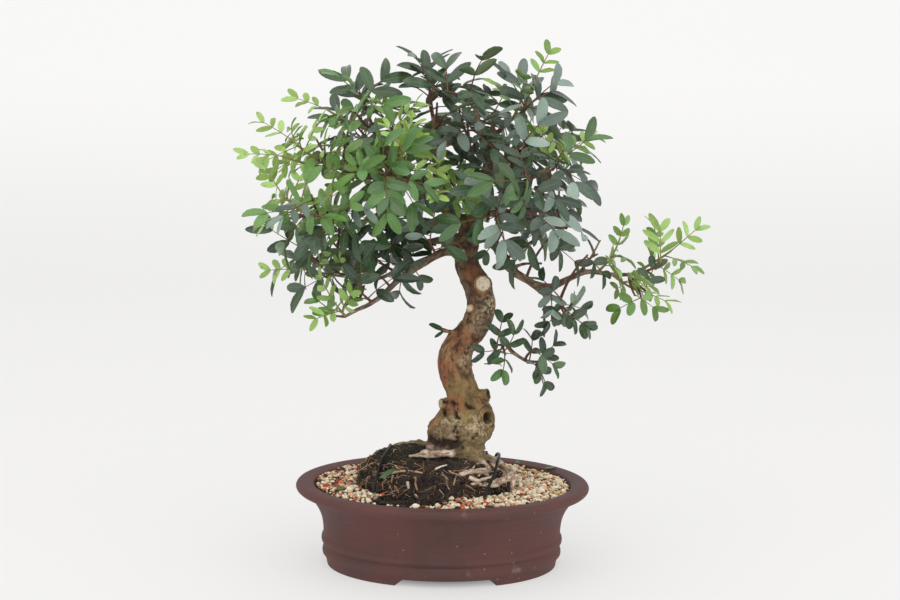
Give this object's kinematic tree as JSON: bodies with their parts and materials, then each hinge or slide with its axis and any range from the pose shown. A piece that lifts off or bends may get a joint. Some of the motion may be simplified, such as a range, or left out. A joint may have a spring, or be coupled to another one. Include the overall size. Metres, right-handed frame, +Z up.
{
  "type": "pistachio bonsai in a clay pot",
  "caption": "Bonsai of an evergreen pistachio: a bent old trunk with spreading limbs of pinnate leaves, wired into gritty soil in an oval unglazed clay pot.",
  "frame": {"origin": "middle of the part's bounding box, on the floor that the pot stands on", "axes": "+Z up; the front of the tree faces -Y; +X to the right as seen from the front"},
  "size_m": [0.41, 0.2776, 0.4583],
  "materials": {
    "clay": "matte",
    "bark": "matte",
    "root_soil": "matte",
    "grit": "matte",
    "screen_plastic": "matte",
    "coated_wire": "satin",
    "mature_leaf": "satin",
    "young_leaf": "satin"
  },
  "bodies": {
    "root": {"pot": "clay", "trunk": "bark", "root_ball": "root_soil", "grit_bed": "grit", "drain_screen_left": "screen_plastic", "drain_screen_right": "screen_plastic", "anchor_wire_left": "coated_wire", "anchor_wire_right": "coated_wire", "leafy_shoot_01": "mature_leaf", "young_shoot_02": "young_leaf", "young_shoot_03": "young_leaf", "young_shoot_04": "young_leaf", "young_shoot_05": "young_leaf", "young_shoot_06": "young_leaf", "leafy_shoot_07": "mature_leaf", "leafy_shoot_08": "mature_leaf", "leafy_shoot_09": "mature_leaf", "leafy_shoot_10": "mature_leaf", "young_shoot_11": "young_leaf", "leafy_shoot_12": "mature_leaf", "leafy_shoot_13": "mature_leaf", "leafy_shoot_14": "mature_leaf", "leafy_shoot_15": "mature_leaf", "leafy_shoot_16": "mature_leaf", "young_shoot_17": "young_leaf", "young_shoot_18": "young_leaf", "leafy_shoot_19": "mature_leaf", "leafy_shoot_20": "mature_leaf", "leafy_shoot_21": "mature_leaf", "leafy_shoot_22": "mature_leaf", "leafy_shoot_23": "mature_leaf", "leafy_shoot_24": "mature_leaf", "leafy_shoot_25": "mature_leaf", "leafy_shoot_26": "mature_leaf", "young_shoot_27": "young_leaf", "leafy_shoot_28": "mature_leaf", "leafy_shoot_29": "mature_leaf", "young_shoot_30": "young_leaf", "leafy_shoot_31": "mature_leaf", "leafy_shoot_32": "mature_leaf", "leafy_shoot_33": "mature_leaf", "leafy_shoot_34": "mature_leaf", "leafy_shoot_35": "mature_leaf", "leafy_shoot_36": "mature_leaf", "leafy_shoot_37": "mature_leaf", "leafy_shoot_38": "mature_leaf", "leafy_shoot_39": "mature_leaf", "leafy_shoot_40": "mature_leaf", "young_shoot_41": "young_leaf", "young_shoot_42": "young_leaf", "young_shoot_43": "young_leaf", "leafy_shoot_44": "mature_leaf", "leafy_shoot_45": "mature_leaf", "leafy_shoot_46": "mature_leaf", "young_shoot_47": "young_leaf", "leafy_shoot_48": "mature_leaf", "leafy_shoot_49": "mature_leaf", "leafy_shoot_50": "mature_leaf", "leafy_shoot_51": "mature_leaf", "leafy_shoot_52": "mature_leaf"}
  },
  "joints": []
}
